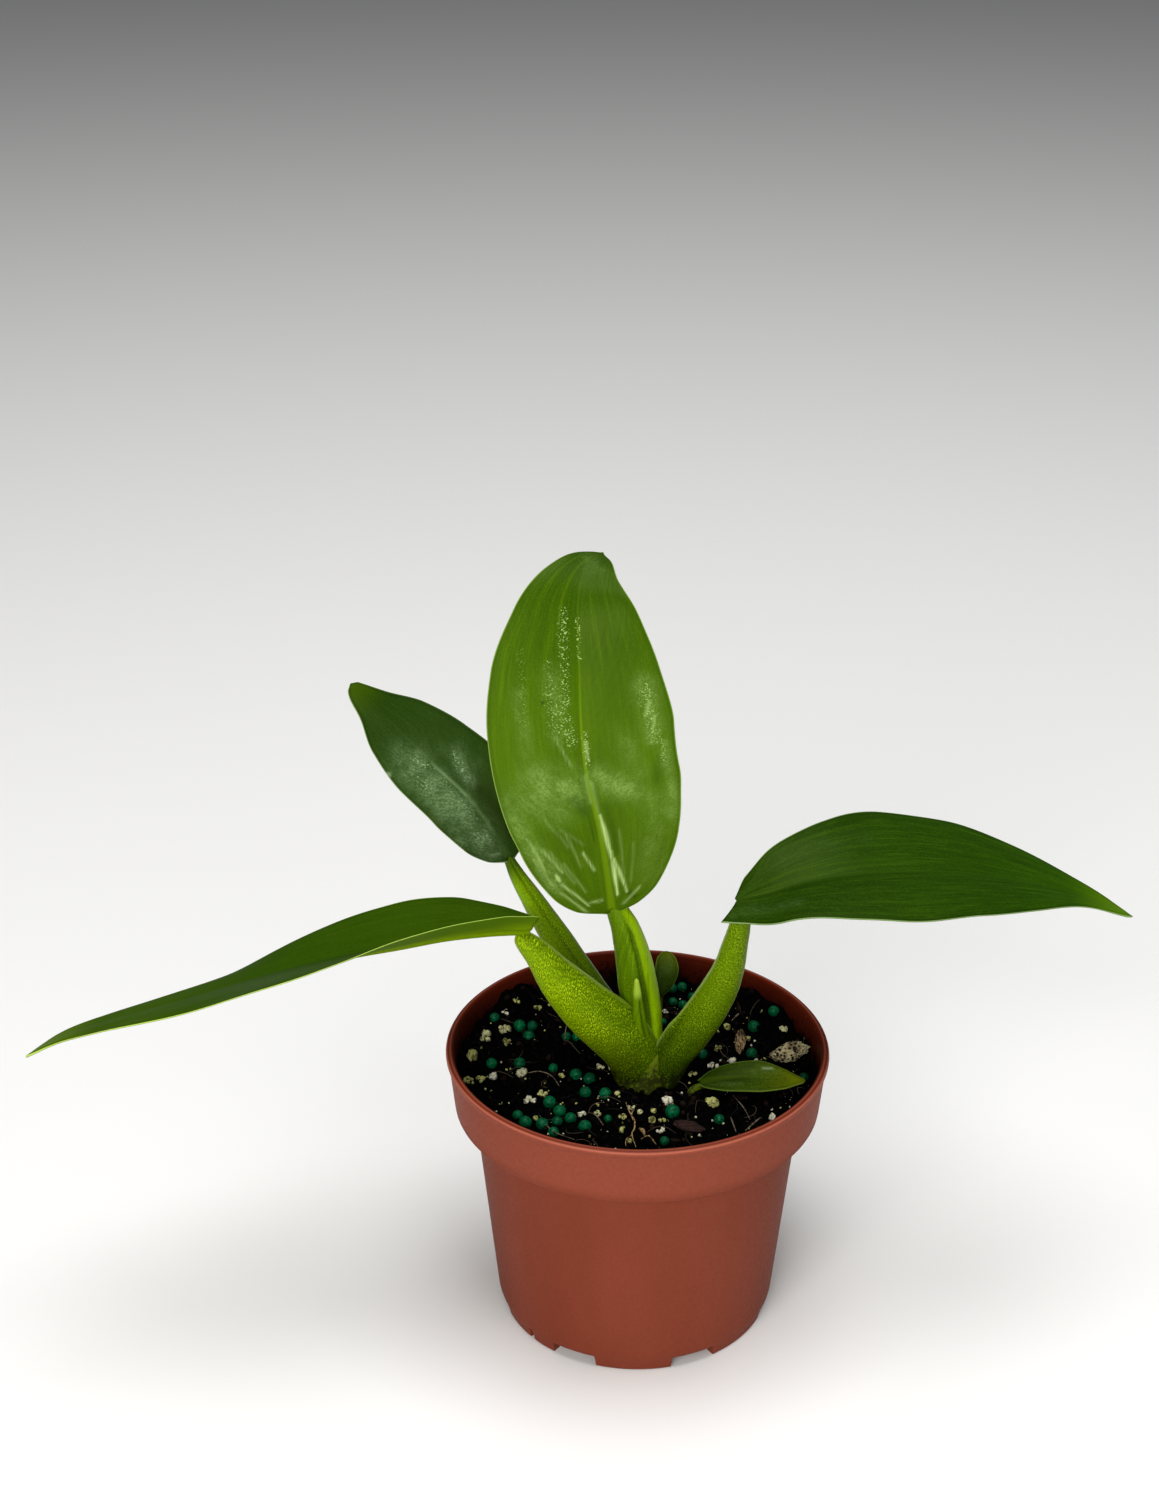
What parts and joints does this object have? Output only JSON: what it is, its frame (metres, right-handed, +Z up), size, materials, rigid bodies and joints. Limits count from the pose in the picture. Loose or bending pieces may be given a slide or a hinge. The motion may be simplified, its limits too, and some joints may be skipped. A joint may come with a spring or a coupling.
{
  "type": "potted fat boy philodendron",
  "caption": "Young philodendron with swollen leaf stalks and long oval leaves, growing in soil in a small round nursery pot that stands on a notched foot ring.",
  "frame": {"origin": "bottom centre of the whole plant's box, on the surface the pot stands on; the pot's axis stands 13 mm towards +X", "axes": "+Z up along the pot's axis, +X to the right along the longest spread of the leaves, -Y to the front"},
  "size_m": [0.2922, 0.102, 0.2052],
  "materials": {
    "pot_plastic": "satin",
    "potting_mix": "matte",
    "crown_tissue": "satin",
    "stalk_left": "satin",
    "stalk_right": "satin",
    "stalk_centre": "satin",
    "stalk_back": "satin",
    "spear": "satin",
    "leaf_centre": "satin",
    "leaf_back": "satin",
    "leaf_left": "satin",
    "leaf_right": "satin",
    "leaf_small": "satin",
    "stalk_small": "satin",
    "pumice": "matte",
    "bark": "matte"
  },
  "bodies": {
    "root": {"pot": "pot_plastic", "soil": "potting_mix", "crown": "crown_tissue", "stalk_left": "stalk_left", "stalk_right": "stalk_right", "stalk_centre": "stalk_centre", "stalk_back": "stalk_back", "spear": "spear", "small_stalk_back": "stalk_small", "small_stalk_front": "stalk_small", "blade_centre": "leaf_centre", "blade_back": "leaf_back", "blade_left": "leaf_left", "blade_right": "leaf_right", "small_blade_back": "leaf_small", "small_blade_front": "leaf_small", "pumice_chunk": "pumice", "bark_chip_pale": "bark", "bark_chip_red": "bark"}
  },
  "joints": []
}
